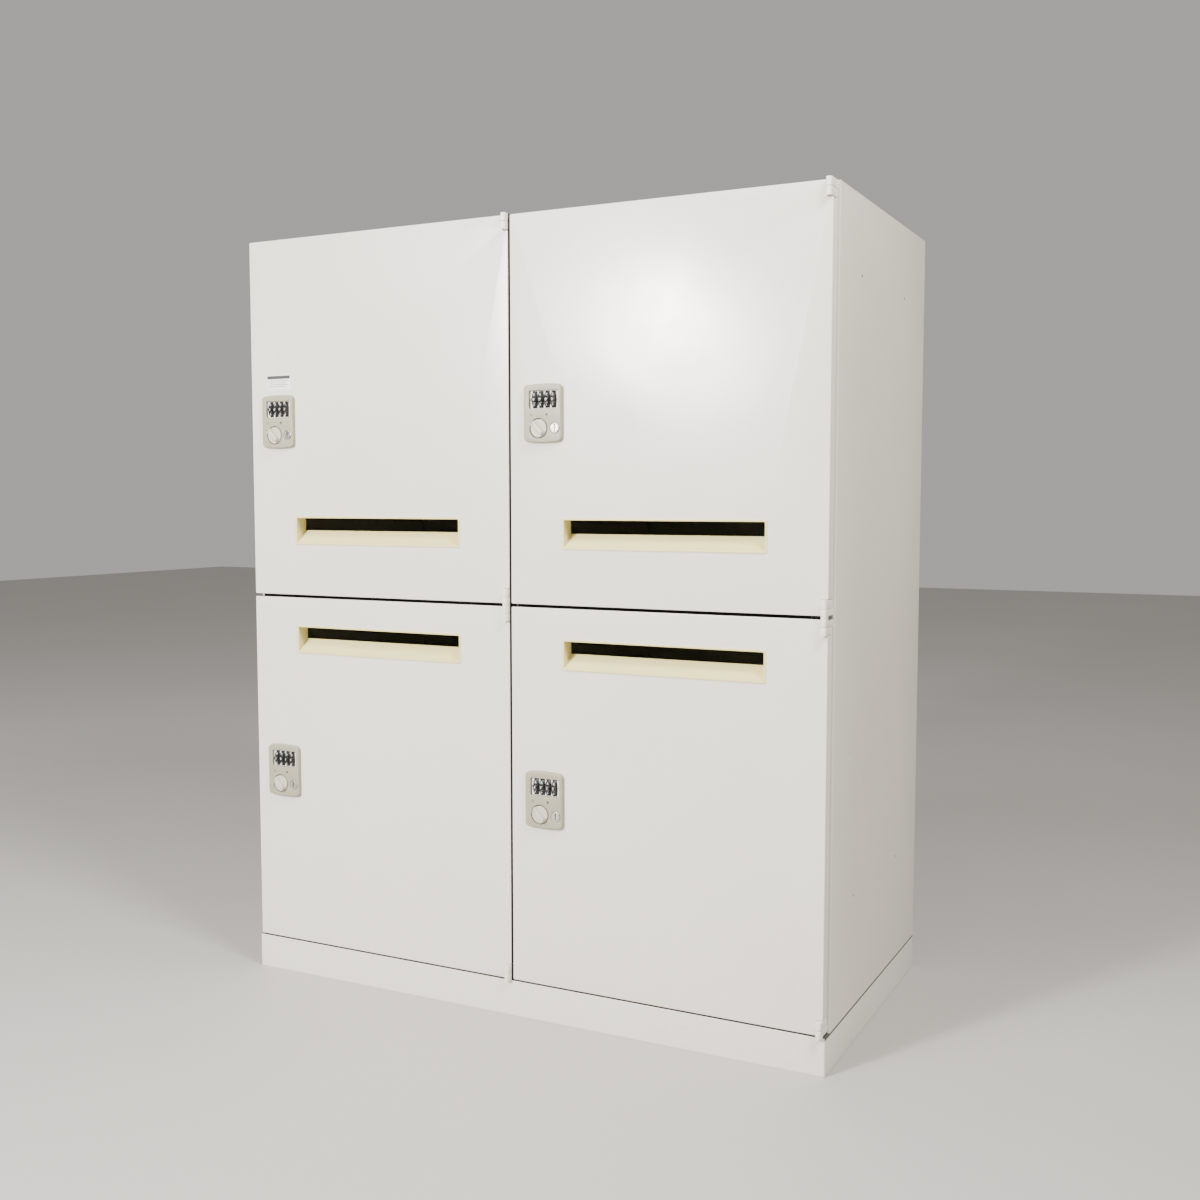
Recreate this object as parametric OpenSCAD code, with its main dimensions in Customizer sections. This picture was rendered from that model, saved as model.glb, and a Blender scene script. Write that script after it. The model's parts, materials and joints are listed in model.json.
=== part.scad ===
// Parcel locker: two columns by two rows of mail compartments on a low base.
// Each door has a letter slot, a four-wheel combination lock and two pin hinges.
// x runs across the front, y from front to back and z up.
// The origin is on the floor, in the middle of the whole footprint.

/* [Cabinet] */
// Width over the side panels
cabinet_w = 900; // [800:10:1200]
// Depth from the door faces to the back
cabinet_d = 450; // [380:10:600]
// Height of the two rows of compartments
body_h = 1050; // [900:10:1400]
// Height of the base under the compartments
base_h = 50; // [40:5:80]
// Thickness of the sheet steel
sheet = 1; // [0.8:0.1:1.2]
// Thickness of the base's steel
base_sheet = 2; // [1.2:0.2:3]
// Width of the flange at the front of each side panel
stile_w = 22; // [18:1:30]
// Width of the flange at the front of the centre partition
centre_stile_w = 40; // [36:1:60]
// Height of the front flanges of the top and floor panels
rail_h = 20; // [16:1:30]
// Height of the flange in front of the middle shelves
mid_rail_h = 30; // [24:1:50]
// Radius of the holes that join one cabinet to the next
gang_hole_r = 2.75; // [2:0.25:4]
// Spacing of those holes from front to back
gang_spacing_y = 216; // [150:1:260]
// Spacing of those holes up the side
gang_spacing_z = 800; // [500:10:900]

/* [Doors] */
// Thickness of a door
door_t = 17; // [15:0.5:20]
// Gap between a closed door and the cabinet behind it
door_rear_gap = 2; // [2:0.5:3]
// Gap between the doors, and between a door and the cabinet's side, across the front
door_side_gap = 3; // [2:0.5:4]
// Gap between the doors, up the front
door_row_gap = 4; // [3:0.5:6]

/* [Hinges] */
// Outer radius of a hinge knuckle
knuckle_r = 4; // [3.5:0.25:5]
// Radius of a hinge pin
pin_r = 2; // [1.5:0.25:2.5]
// Clearance round the pin in the door's knuckle
pin_play = 0.05; // [0.02:0.01:0.1]
// Height of the knuckle that is fixed to the cabinet
bracket_h = 11; // [9:0.5:14]
// Height of the knuckle that is fixed to the door
leaf_h = 10.4; // [8:0.2:14]

/* [Letter slots] */
// Width of the recess
slot_w = 282; // [200:2:320]
// Height of the recess
slot_h = 36; // [30:1:50]
// Depth of the recess behind the door face
slot_d = 20; // [19:0.5:22]
// Rise of the sloping sill from front to back
sill_rise = 17.5; // [10:0.5:20]
// Height of the recess above the lower edge of an upper door
slot_z_upper = 78; // [60:1:90]
// Height of the recess above the lower edge of a lower door
slot_z_lower = 441; // [400:1:450]

/* [Locks] */
// Width of the lock's face plate
plate_w = 58; // [56:1:64]
// Height of the lock's face plate at its middle
plate_h = 79; // [76:1:90]
// Thickness of the face plate
plate_t = 6; // [5:0.5:8]
// Distance from a door's free edge to the middle of its lock
lock_x = 52; // [50:1:60]
// Height of the lock's middle above the lower edge of an upper door
lock_z_upper = 256; // [200:1:300]
// Height of the lock's middle above the lower edge of a lower door
lock_z_lower = 259; // [200:1:300]
// Radius of a dial wheel
dial_r = 11.6; // [11:0.1:12]
// Width of a dial wheel
dial_w = 6.2; // [5:0.2:6.6]
// Distance from one dial wheel to the next
dial_pitch = 9.4; // [9:0.1:10]
// Radius of the turning knob
knob_r = 12; // [11:0.1:13]
// Height of the knob's grip bar in front of the door face
grip_front = 13; // [11:0.5:16]
// Length of the latch cam from the knob's centre
cam_l = 36; // [35:0.5:37]

/* [Hidden] */
$fn = 48;
eps = 0.01;
// How far a cut runs past the surface that it opens
over = 1;
top_z = base_h + body_h;
mid_z = base_h + body_h / 2;
half_w = cabinet_w / 2;

// Planes from front to back
face_y = (grip_front - cabinet_d) / 2;
carcass_y = face_y + door_t + door_rear_gap;
back_y = face_y + cabinet_d;
seam = 0.1;
rear_flange_w = 15;
gang_y = face_y + cabinet_d / 2;
gang_z = 600;

// Doors
door_w = (cabinet_w - 3 * door_side_gap) / 2;
door_foot_gap = door_row_gap / 2;
door_h = body_h / 2 - door_row_gap;
liner_gap = 0.2;

// Hinges: the axis lies in front of the door face, one knuckle radius in from the door's edge
axis_x = door_w - knuckle_r;
axis_y = -knuckle_r;
notch_play = 0.2;
notch_w = 2 * knuckle_r + notch_play;
knuckle_gap = 0.4;
notch_h = bracket_h + knuckle_gap + leaf_h + knuckle_gap - door_foot_gap;
web_t = 3;
foot_w = 26;
foot_t = 1.6;
tongue_t = 1.5;
tongue_l = 22;
tongue_inset = 3;
tongue_slot_play = 0.2;
pin_end = 1.5;

// Letter slots
slot_x = (door_w - slot_w) / 2;
slot_flange_w = 3;
slot_flange_t = 1;
slot_wall = 1.2;
slot_fit = 0.3;
sill_t = 1.5;

// Locks, measured from the middle of the face plate
plate_corner_r = 5;
plate_crown = 2;
crown_fn = 180;
case_w = 52;
case_h = 70;
case_back = 19;
case_fit = 1;
dial_count = 4;
dial_x = 2.2;
dial_y = 3;
dial_z = 18;
dial_bore_play = 0.06;
axle_r = 2;
axle_end = 2;
dial_slot_play = 0.4;
dial_slot_h = 22.4;
dial_grooves = 10;
dial_groove_r = 1.2;
dial_groove_d = 0.8;
window_x = 2;
window_w = 44;
window_h = 24;
window_floor = 2.5;
window_floor_t = 1.2;
cavity_h = 25.2;
cavity_back = 16.5;
knob_x = -5.5;
knob_z = -20;
well_r = 13.5;
well_floor = 2;
knob_back = 2.2;
knob_front = 6.6;
grip_w = 8;
grip_l = 24;
shaft_r = 5;
shaft_play = 0.06;
stud_r = 3;
stud_back = 26.5;
cam_front = 21.3;
cam_t = 2;
cam_w = 12;
cam_hub_r = 8;
nut_r = 5.5;
nut_t = 2.4;
key_x = 19;
key_z = -20;
key_r = 6.5;
key_front = 6.8;
key_back = 14;
key_play = 0.06;
key_slot_w = 1.8;
key_slot_h = 11;
key_slot_d = 4;

// Rubber bumpers, the foam strips behind the gaps between the doors, and levelling feet
bumper_r = 4;
bumper_t = 1.7;
bumper_x = 9;
bumper_inset = 26;
strip_w = 8;
strip_t = 1.5;
strip_end = 15;
strip_fit = 1;
foot_pad_r = 14;
foot_pad_h = 6;
foot_stem_r = 4;
foot_stem_top = 49;
foot_inset = 18;
foot_nut_r = 7.5;
foot_nut_h = 6;
base_flange_w = 30;
foot_hole_play = 0.1;

// Colours
paint = "Linen";
lock_plastic = "Gainsboro";
slot_plastic = "Cornsilk";
dial_plastic = [0.08, 0.08, 0.08];
steel = "Silver";
rubber_black = [0.15, 0.15, 0.15];

CABINET_PARTS = [
    "left_side_panel", "right_side_panel", "top_panel", "floor_panel", "back_panel",
    "centre_partition", "mid_shelves", "base_frame", "hinge_brackets", "hinge_pins",
    "door_bumpers", "levelling_feet"
];
DOORS = ["upper_left", "upper_right", "lower_left", "lower_right"];
DOOR_PARTS = [
    "door_panel", "door_liner", "hinge_leaves", "slot_frame", "lock_body", "lock_knob",
    "latch_cam", "key_cylinder", "dial_1", "dial_2", "dial_3", "dial_4"
];

function is_right(door) = door == "upper_right" || door == "lower_right";
function is_upper(door) = door == "upper_left" || door == "upper_right";
function door_left(door) = is_right(door) ? door_side_gap / 2 : -half_w + door_side_gap;
function door_foot(door) = (is_upper(door) ? mid_z : base_h) + door_foot_gap;
function slot_z(door) = is_upper(door) ? slot_z_upper : slot_z_lower;
function lock_z(door) = is_upper(door) ? lock_z_upper : lock_z_lower;
function dial_offset(i) = dial_x + (i - (dial_count + 1) / 2) * dial_pitch;

// A block between two limits on each axis
module block(x, y, z) {
    translate([x[0], y[0], z[0]]) cube([x[1] - x[0], y[1] - y[0], z[1] - z[0]]);
}

// A round bar from front to back, y0 to y1
module bar_y(r, y0, y1) {
    translate([0, y0, 0]) rotate([-90, 0, 0]) cylinder(r = r, h = y1 - y0);
}

// A round bar from side to side, x0 to x1
module bar_x(r, x0, x1) {
    translate([x0, 0, 0]) rotate([0, 90, 0]) cylinder(r = r, h = x1 - x0);
}

// An outline drawn in x and z, made solid from y0 back to y1
module slab_y(y0, y1) {
    translate([0, y1, 0]) rotate([90, 0, 0]) linear_extrude(y1 - y0) children();
}

// ---- Cabinet ----

module right_side_panel_shape() {
    difference() {
        union() {
            block([half_w - sheet, half_w], [carcass_y, back_y], [base_h, top_z]);
            block([half_w - stile_w, half_w], [carcass_y, carcass_y + sheet], [base_h, top_z]);
            block([half_w - rear_flange_w, half_w], [back_y - sheet, back_y], [base_h, top_z]);
        }
        for (dy = [-1, 1], dz = [-1, 1])
            translate([0, gang_y + dy * gang_spacing_y / 2, gang_z + dz * gang_spacing_z / 2])
                bar_x(gang_hole_r, half_w - 2 * sheet, half_w + sheet);
    }
}

module right_side_panel() {
    color(paint) right_side_panel_shape();
}

module left_side_panel() {
    color(paint) mirror([1, 0, 0]) right_side_panel_shape();
}

// A level sheet with flanges at its front and back, hanging down from it
module pan(x, z_top, flange_x, flange_h) {
    block(x, [carcass_y + sheet, back_y - 2 * sheet], [z_top - sheet, z_top]);
    block(flange_x, [carcass_y, carcass_y + sheet + eps], [z_top - flange_h, z_top]);
    block(x, [back_y - 2 * sheet - eps, back_y - sheet], [z_top - flange_h, z_top]);
}

module top_panel() {
    inside = half_w - sheet;
    between = half_w - stile_w;
    color(paint) pan([-inside, inside], top_z, [-between, between], rail_h);
}

module floor_panel() {
    inside = half_w - sheet;
    between = half_w - stile_w;
    color(paint) pan([-inside, inside], base_h + rail_h, [-between, between], rail_h);
}

module mid_shelves() {
    inside = [sheet + seam, half_w - sheet - seam];
    between = [centre_stile_w / 2 + seam, half_w - stile_w - seam];
    z_top = mid_z + mid_rail_h / 2;
    color(paint) for (side = [0, 1]) mirror([side, 0, 0]) {
        block(inside, [carcass_y + sheet, back_y - 2 * sheet - seam], [z_top - sheet, z_top]);
        block(between, [carcass_y, carcass_y + sheet + eps], [z_top - mid_rail_h, z_top]);
        block(inside, [back_y - 3 * sheet - seam, back_y - 2 * sheet - seam],
              [z_top - rail_h, z_top]);
    }
}

module back_panel() {
    inside = half_w - sheet - seam;
    color(paint) block([-inside, inside], [back_y - 2 * sheet, back_y - sheet],
                       [base_h + rail_h + seam, top_z - rail_h - seam]);
}

module centre_partition() {
    bottom = base_h + rail_h + seam;
    between_rails = [bottom, top_z - rail_h - seam];
    front = carcass_y + sheet;
    color(paint) {
        block([-sheet, sheet], [front + seam, back_y - 2 * sheet - seam],
              [bottom, top_z - sheet - seam]);
        block([-sheet, sheet], [front - eps, front + seam + eps], between_rails);
        block([-centre_stile_w / 2, centre_stile_w / 2], [carcass_y, front], between_rails);
    }
}

// The base is a welded ring of folded angle, flush with the doors and the side panels
module base_frame() {
    inner_x = half_w - base_sheet;
    clear_x = half_w - base_flange_w;
    color(paint) difference() {
        block([-half_w, half_w], [face_y, back_y], [0, base_h]);
        block([-inner_x, inner_x], [face_y + base_sheet, back_y - base_sheet],
              [-over, base_h - base_sheet]);
        block([-clear_x, clear_x], [face_y + base_flange_w, back_y - base_flange_w],
              [-over, base_h + over]);
        at_feet() cylinder(r = foot_stem_r + foot_hole_play, h = base_h + over);
    }
}

module at_feet() {
    for (x = [-half_w + foot_inset, half_w - foot_inset])
        for (y = [face_y + foot_inset, back_y - foot_inset])
            translate([x, y, 0]) children();
}

module levelling_feet() {
    nut_z = base_h - base_sheet - foot_nut_h;
    color(steel) at_feet() {
        cylinder(r = foot_pad_r, h = foot_pad_h);
        cylinder(r = foot_stem_r, h = foot_stem_top);
        translate([0, 0, nut_z]) cylinder(r = foot_nut_r, h = foot_nut_h, $fn = 6);
    }
}

module door_bumpers() {
    color(rubber_black) for (door = DOORS) for (z = [bumper_inset, door_h - bumper_inset])
        translate([door_left(door) + bumper_x, 0, door_foot(door) + z])
            bar_y(bumper_r, carcass_y - bumper_t, carcass_y);
    color(rubber_black) for (z = [base_h, mid_z])
        block([-strip_w / 2, strip_w / 2], [carcass_y - strip_t, carcass_y],
              [z + strip_end, z + body_h / 2 - strip_end]);
    color(rubber_black) for (door = DOORS) if (is_upper(door))
        translate([door_left(door), 0, mid_z])
            block([strip_fit, door_w - foot_w - strip_fit], [carcass_y - strip_t, carcass_y],
                  [-strip_w / 2, strip_w / 2]);
}

// ---- Hinges ----

// Puts a shape drawn at a door's lower hinge at both of its hinges
module at_hinges(door) {
    translate([door_left(door), face_y, door_foot(door) - door_foot_gap]) {
        children();
        translate([0, 0, body_h / 2]) mirror([0, 0, 1]) children();
    }
}

module hinge_brackets() {
    rear = door_t + door_rear_gap;
    color(paint) for (door = DOORS) at_hinges(door) difference() {
        union() {
            translate([axis_x, axis_y, seam]) cylinder(r = knuckle_r, h = bracket_h - seam);
            block([door_w - web_t, door_w], [axis_y, rear], [seam, bracket_h]);
            block([door_w - foot_w, door_w], [rear - foot_t, rear], [seam, bracket_h]);
        }
        translate([axis_x, axis_y, -over]) cylinder(r = pin_r, h = bracket_h + 2 * over);
    }
}

module hinge_pins() {
    pin_h = bracket_h + knuckle_gap + leaf_h - 2 * pin_end;
    color(steel) for (door = DOORS) at_hinges(door)
        translate([axis_x, axis_y, pin_end]) cylinder(r = pin_r, h = pin_h);
}

// ---- Doors, drawn from the door's lower left front corner ----

// The corner of the door that is cut away for a hinge, grown by a margin
module hinge_notch(margin) {
    for (end = [0, 1])
        translate([0, 0, end * door_h]) mirror([0, 0, end])
            block([door_w - notch_w - margin, door_w + over], [-over, door_t + over],
                  [-over, notch_h + margin]);
}

// The tongue that carries a hinge leaf inside the door, grown by a margin
module hinge_tongue(z, margin) {
    inner = door_w - sheet - seam;
    block([inner - tongue_t - margin, inner + margin],
          [tongue_inset - margin, door_t - tongue_inset + margin], z);
}

module slot_cutout(door) {
    margin = slot_wall + slot_fit;
    block([slot_x - margin, slot_x + slot_w + margin], [-over, door_t + over],
          [slot_z(door) - margin, slot_z(door) + slot_h + margin]);
}

module lock_cutout(door) {
    dx = (case_w + case_fit) / 2;
    dz = (case_h + case_fit) / 2;
    block([lock_x - dx, lock_x + dx], [-over, door_t + over],
          [lock_z(door) - dz, lock_z(door) + dz]);
}

module door_panel(door) {
    color(paint) difference() {
        block([0, door_w], [0, door_t], [0, door_h]);
        difference() {
            block([sheet, door_w - sheet], [sheet, door_t + over], [sheet, door_h - sheet]);
            hinge_notch(sheet);
        }
        hinge_notch(0);
        hinge_tongue([notch_h - over, door_h - notch_h + over], tongue_slot_play);
        slot_cutout(door);
        lock_cutout(door);
    }
}

module door_liner(door) {
    edge = sheet + liner_gap;
    color(paint) difference() {
        block([edge, door_w - edge], [door_t - sheet, door_t], [edge, door_h - edge]);
        hinge_notch(edge);
        slot_cutout(door);
        lock_cutout(door);
    }
}

module hinge_leaf() {
    z0 = bracket_h + knuckle_gap;
    z1 = z0 + leaf_h;
    color(paint) difference() {
        union() {
            translate([axis_x, axis_y, z0]) cylinder(r = knuckle_r, h = leaf_h);
            block([axis_x - knuckle_r, door_w], [0, door_t], [z0, z1]);
            block([axis_x, door_w], [axis_y, eps], [z0, z1]);
            hinge_tongue([z1 - eps, z1 + tongue_l], 0);
        }
        translate([axis_x, axis_y, z0 - over]) cylinder(r = pin_r + pin_play, h = leaf_h + 2 * over);
    }
}

module hinge_leaves() {
    translate([0, 0, -door_foot_gap]) {
        hinge_leaf();
        translate([0, 0, body_h / 2]) mirror([0, 0, 1]) hinge_leaf();
    }
}

// The letter slot's moulding, whose sill slopes up to a throat at the back
module slot_frame(door) {
    outer = slot_flange_w;
    color(slot_plastic) translate([slot_x, 0, slot_z(door)]) {
        difference() {
            union() {
                block([-outer, slot_w + outer], [-slot_flange_t, 0], [-outer, slot_h + outer]);
                block([-slot_wall, slot_w + slot_wall], [-eps, slot_d],
                      [-slot_wall, slot_h + slot_wall]);
            }
            block([0, slot_w], [-slot_flange_t - over, slot_d + over], [0, slot_h]);
            block([0, slot_w], [sill_t, slot_d + over], [-slot_wall - over, slot_h]);
        }
        rotate([90, 0, 90]) linear_extrude(slot_w) polygon([
            [0, 0], [slot_d, sill_rise], [slot_d, sill_rise - sill_t], [sill_t, -slot_wall], [0, -slot_wall]
        ]);
    }
}

// ---- Locks, drawn from the middle of the face plate on the door face ----

// The face plate's outline, with round corners and arched upper and lower edges
module plate_outline() {
    crown_r = (pow(plate_w / 2, 2) + pow(plate_crown, 2)) / (2 * plate_crown);
    inner = [plate_w / 2 - plate_corner_r, plate_h / 2 - plate_crown - plate_corner_r];
    intersection() {
        union() {
            square([plate_w, 2 * inner[1]], center = true);
            square([2 * inner[0], plate_h], center = true);
            for (sx = [-1, 1], sz = [-1, 1])
                translate([sx * inner[0], sz * inner[1]]) circle(r = plate_corner_r);
        }
        translate([0, plate_h / 2 - crown_r]) circle(r = crown_r, $fn = crown_fn);
        translate([0, crown_r - plate_h / 2]) circle(r = crown_r, $fn = crown_fn);
    }
}

module lock_body() {
    cavity_w = dial_count * dial_pitch + dial_slot_play;
    cavity = [dial_x - cavity_w / 2, dial_x + cavity_w / 2];
    window_half = window_h / 2;
    color(lock_plastic) {
        difference() {
            union() {
                slab_y(-plate_t, 0) plate_outline();
                block([-case_w / 2, case_w / 2], [-eps, case_back], [-case_h / 2, case_h / 2]);
            }
            // The window in front of the wheels, and the space that they turn in
            block([window_x - window_w / 2, window_x + window_w / 2], [-plate_t - over, -window_floor],
                  [dial_z - window_half, dial_z + window_half]);
            block(cavity, [-window_floor + window_floor_t, cavity_back],
                  [dial_z - cavity_h / 2, dial_z + cavity_h / 2]);
            for (i = [1 : dial_count])
                block([dial_offset(i) - dial_w / 2 - dial_slot_play,
                       dial_offset(i) + dial_w / 2 + dial_slot_play],
                      [-plate_t, 0], [dial_z - dial_slot_h / 2, dial_z + dial_slot_h / 2]);
            // The knob's well and bearing, and the key cylinder's bore
            translate([knob_x, 0, knob_z]) bar_y(well_r, -plate_t - over, -well_floor);
            translate([knob_x, 0, knob_z]) bar_y(shaft_r + shaft_play, -plate_t, case_back + over);
            translate([key_x, 0, key_z]) bar_y(key_r + key_play, -plate_t - over, key_back + seam);
        }
        // The axle that carries the four wheels
        translate([0, dial_y, dial_z]) bar_x(axle_r, cavity[0] - axle_end, cavity[1] + axle_end);
    }
}

// The knob stands with its grip bar pointing to the upper left, the open position
module lock_knob() {
    color(lock_plastic) translate([knob_x, 0, knob_z]) {
        bar_y(knob_r, -knob_front, -knob_back);
        bar_y(shaft_r, -knob_back - eps, cam_front);
        bar_y(stud_r, cam_front - eps, stud_back);
        rotate([0, 45, 0]) slab_y(-grip_front, -knob_front + eps) {
            square([grip_l - grip_w, grip_w], center = true);
            for (end = [-1, 1]) translate([end * (grip_l - grip_w) / 2, 0]) circle(d = grip_w);
        }
    }
}

// The cam hangs down when the knob is open and points to the free edge when it is locked
module latch_cam() {
    color(steel) translate([knob_x, 0, knob_z]) {
        slab_y(cam_front, cam_front + cam_t) difference() {
            union() {
                circle(r = cam_hub_r);
                translate([-cam_w / 2, -cam_l + cam_w / 2]) square([cam_w, cam_l - cam_w / 2]);
                translate([0, -cam_l + cam_w / 2]) circle(d = cam_w);
            }
            circle(r = stud_r + seam);
        }
        slab_y(cam_front + cam_t, cam_front + cam_t + nut_t) difference() {
            circle(r = nut_r, $fn = 6);
            circle(r = stud_r + seam);
        }
    }
}

module key_cylinder() {
    color(steel) translate([key_x, 0, key_z]) difference() {
        bar_y(key_r, -key_front, key_back);
        block([-key_slot_w / 2, key_slot_w / 2], [-key_front - over, -key_front + key_slot_d],
              [-key_slot_h / 2, key_slot_h / 2]);
    }
}

module dial(i) {
    color(dial_plastic) translate([dial_offset(i), dial_y, dial_z]) difference() {
        bar_x(dial_r, -dial_w / 2, dial_w / 2);
        bar_x(axle_r + dial_bore_play, -dial_w, dial_w);
        for (k = [0 : dial_grooves - 1])
            rotate([(k + 0.5) * 360 / dial_grooves, 0, 0])
                translate([0, dial_r + dial_groove_r - dial_groove_d, 0])
                    bar_x(dial_groove_r, -dial_w, dial_w);
    }
}

// Puts one named part of a door where it stands on the cabinet
module door_part(door, part) {
    translate([door_left(door), face_y, door_foot(door)]) {
        if (part == "door_panel") door_panel(door);
        if (part == "door_liner") door_liner(door);
        if (part == "hinge_leaves") hinge_leaves();
        if (part == "slot_frame") slot_frame(door);
        translate([lock_x, 0, lock_z(door)]) {
            if (part == "lock_body") lock_body();
            if (part == "lock_knob") lock_knob();
            if (part == "latch_cam") latch_cam();
            if (part == "key_cylinder") key_cylinder();
            for (i = [1 : dial_count]) if (part == str("dial_", i)) dial(i);
        }
    }
}

left_side_panel();
right_side_panel();
top_panel();
floor_panel();
back_panel();
centre_partition();
mid_shelves();
base_frame();
hinge_brackets();
hinge_pins();
door_bumpers();
levelling_feet();
for (door = DOORS) for (part = DOOR_PARTS)
    door_part(door, part);
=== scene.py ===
"""The looks of a parcel locker: a powder-coated steel cabinet on a low base, whose four doors
each have a moulded letter slot, a four-wheel combination lock and two pin hinges.

Shapes are worked out in millimetres and made into meshes in metres. Outlines are flat closed
loops; a piece is a profile carried round one, with flat faces cut to the same loops.
"""

import json
import math

import bmesh
import bpy
import numpy as np
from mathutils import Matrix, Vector
from mathutils.geometry import delaunay_2d_cdt


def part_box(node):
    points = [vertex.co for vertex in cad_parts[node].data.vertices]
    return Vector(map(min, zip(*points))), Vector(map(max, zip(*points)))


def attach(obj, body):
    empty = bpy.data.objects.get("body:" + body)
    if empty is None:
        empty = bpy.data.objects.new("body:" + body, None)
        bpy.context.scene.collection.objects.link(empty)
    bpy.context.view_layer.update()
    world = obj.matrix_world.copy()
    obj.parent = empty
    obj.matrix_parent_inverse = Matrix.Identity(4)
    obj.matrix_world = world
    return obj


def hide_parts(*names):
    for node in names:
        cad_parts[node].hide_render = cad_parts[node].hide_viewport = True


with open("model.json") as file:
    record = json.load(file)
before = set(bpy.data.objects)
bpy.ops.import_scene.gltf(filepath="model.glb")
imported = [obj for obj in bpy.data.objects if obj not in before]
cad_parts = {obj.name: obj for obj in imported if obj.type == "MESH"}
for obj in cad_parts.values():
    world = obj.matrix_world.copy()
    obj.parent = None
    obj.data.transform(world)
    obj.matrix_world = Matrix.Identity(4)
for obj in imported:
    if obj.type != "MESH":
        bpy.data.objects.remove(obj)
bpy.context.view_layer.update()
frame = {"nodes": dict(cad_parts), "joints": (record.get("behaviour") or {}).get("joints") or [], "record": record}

MM = 0.001
WELD = 0.002
DOORS = ("upper_left", "upper_right", "lower_left", "lower_right")
DIALS = (1, 2, 3, 4)
JOINT_AT = {j["name"]: np.array(j["pos_m"]) / MM for j in frame["joints"]}

# Sheet steel, in millimetres
SHEET = 1.0
DOOR_EDGE_R = 1.3
FOLD_R = 1.6
DOOR_CORNER_R = 2.0

# Hinges, in millimetres: about the pin, and along it
KNUCKLE_R, STRIP_T, PIN_R, LEAF_PLAY = 4.0, 3.0, 2.0, 0.05
BRACKET_SEAM, BRACKET_H, LEAF_GAP, LEAF_H, HINGE_OVERHANG = 0.1, 11.0, 0.4, 10.4, 2.0

# How many sides a round hole in sheet metal has
HOLE_STEPS = 28

# Camera: where it stands, its turn about the vertical, its downward pitch and its lens
CAMERA_AT = (0.92902, -1.78615, 0.72053)
CAMERA_YAW = 0.4679
CAMERA_PITCH = 0.0761
CAMERA_LENS = 40.12


def span(node):
    """The lowest and highest corner of a CAD node, in millimetres."""
    low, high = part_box(node)
    return np.array(low) / MM, np.array(high) / MM


# ---- Outlines: arrays of (u, v) points, closed ----


def rounded(corners, radii, steps=6):
    """A closed outline whose corners are arcs. An arc's centre lies on its corner's bisector, at
    the radius over the sine of half the corner's angle; its points turn evenly about that."""
    p = np.asarray(corners, float)
    r = np.broadcast_to(np.asarray(radii, float), len(p))[:, None]
    back = np.roll(p, 1, axis=0) - p
    ahead = np.roll(p, -1, axis=0) - p
    back /= np.linalg.norm(back, axis=1, keepdims=True)
    ahead /= np.linalg.norm(ahead, axis=1, keepdims=True)
    half = 0.5 * np.arccos(np.clip((back * ahead).sum(1, keepdims=True), -1, 1))
    bisector = (back + ahead) / np.linalg.norm(back + ahead, axis=1, keepdims=True)
    centre = p + bisector * r / np.sin(half)
    arm = p + back * r / np.tan(half) - centre
    side = np.sign(ahead[:, :1] * back[:, 1:] - ahead[:, 1:] * back[:, :1])
    turn = side * (math.pi - 2 * half) * np.linspace(0, 1, steps)[None, :]
    x = arm[:, :1] * np.cos(turn) - arm[:, 1:] * np.sin(turn) + centre[:, :1]
    y = arm[:, :1] * np.sin(turn) + arm[:, 1:] * np.cos(turn) + centre[:, 1:]
    return np.stack([x, y], axis=-1).reshape(-1, 2)


def rectangle(u0, u1, v0, v1, r, arc=5, edge=1):
    """A rounded rectangle: four quarter circles, with evenly spaced points on the edges between."""
    centres = np.array([[u1 - r, v0 + r], [u1 - r, v1 - r], [u0 + r, v1 - r], [u0 + r, v0 + r]])
    angle = np.linspace(-math.pi / 2, 0, arc)[None, :] + np.arange(4)[:, None] * math.pi / 2
    arcs = centres[:, None, :] + r * np.stack([np.cos(angle), np.sin(angle)], axis=-1)
    share = (np.arange(edge) + 1)[None, :, None] / (edge + 1)
    start = arcs[:, -1:, :]
    edges = start + (np.roll(arcs, -1, axis=0)[:, :1, :] - start) * share
    return np.concatenate([arcs, edges], axis=1).reshape(-1, 2)


def circle(r, steps=48, centre=(0, 0)):
    """Points (r cos a, r sin a) evenly round a centre."""
    a = 2 * math.pi * np.arange(steps) / steps
    return np.stack([r * np.cos(a), r * np.sin(a)], axis=-1) + np.asarray(centre, float)


def capsule(length, width, turn=0.0, steps=14, centre=(0, 0)):
    """A bar with half-round ends: two half circles, turned as one by an angle."""
    a = np.linspace(-math.pi / 2, math.pi / 2, steps)
    end = np.stack([np.cos(a), np.sin(a)], axis=-1) * width / 2
    shift = np.array([(length - width) / 2, 0])
    loop = np.concatenate([end + shift, -end - shift])
    c, s = math.cos(turn), math.sin(turn)
    return loop @ np.array([[c, s], [-s, c]]) + np.asarray(centre, float)


def inset(loop, distance):
    """The outline moved inwards. A point moves along the sum of its two edges' normals over one
    plus their dot product, which keeps every straight edge the same distance away."""
    ahead = np.roll(loop, -1, axis=0) - loop
    ahead /= np.linalg.norm(ahead, axis=1, keepdims=True)
    normal = np.stack([ahead[:, 1], -ahead[:, 0]], axis=-1)
    before = np.roll(normal, 1, axis=0)
    mitre = (normal + before) / (1 + (normal * before).sum(1, keepdims=True))
    after = np.roll(loop, -1, axis=0)
    area = (loop[:, 0] * after[:, 1] - after[:, 0] * loop[:, 1]).sum()
    return loop - mitre * distance * np.sign(area)


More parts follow.
